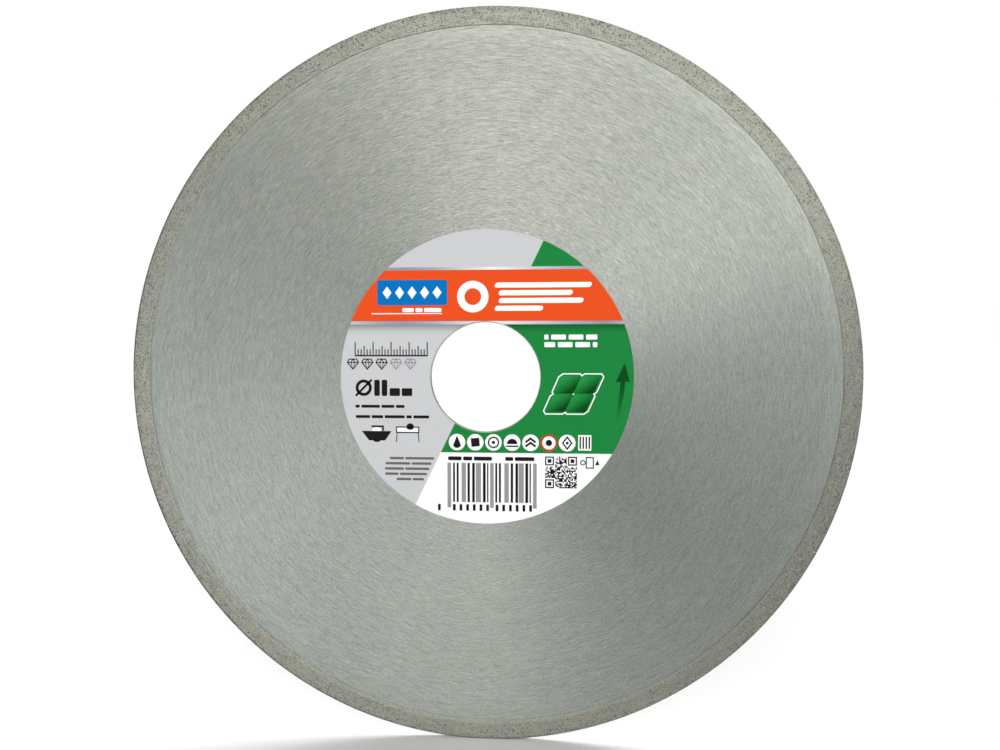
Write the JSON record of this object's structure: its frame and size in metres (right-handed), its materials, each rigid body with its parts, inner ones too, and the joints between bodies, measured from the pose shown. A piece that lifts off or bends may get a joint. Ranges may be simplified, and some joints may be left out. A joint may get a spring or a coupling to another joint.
{
  "type": "diamond blade",
  "caption": "Round continuous-rim diamond saw blade for wet tile cutting: flat steel disc, sintered diamond rim at its edge, central bore and a printed round label.",
  "frame": {"origin": "centre of the bore, at half the thickness of the steel disc", "axes": "+Y along the bore's axis, away from the label; the label faces -Y, +Z is the label's upright direction, +X is to the label's right"},
  "size_m": [0.2, 0.002, 0.2],
  "materials": {
    "core_steel": "ground with short scratches that run round the disc",
    "rim_matrix": "matt sintered metal, open-pored, with dark grit",
    "diamond": "small glossy yellowish crystals",
    "adhesive": "clear to milky glue layer, seen only as an edge",
    "label_print": "satin printed film with metallic stripes"
  },
  "bodies": {
    "root": {"steel_core": "core_steel", "diamond_rim": "rim_matrix", "diamond_grit": "diamond", "label_adhesive": "adhesive", "label_film": "label_print"}
  },
  "joints": []
}
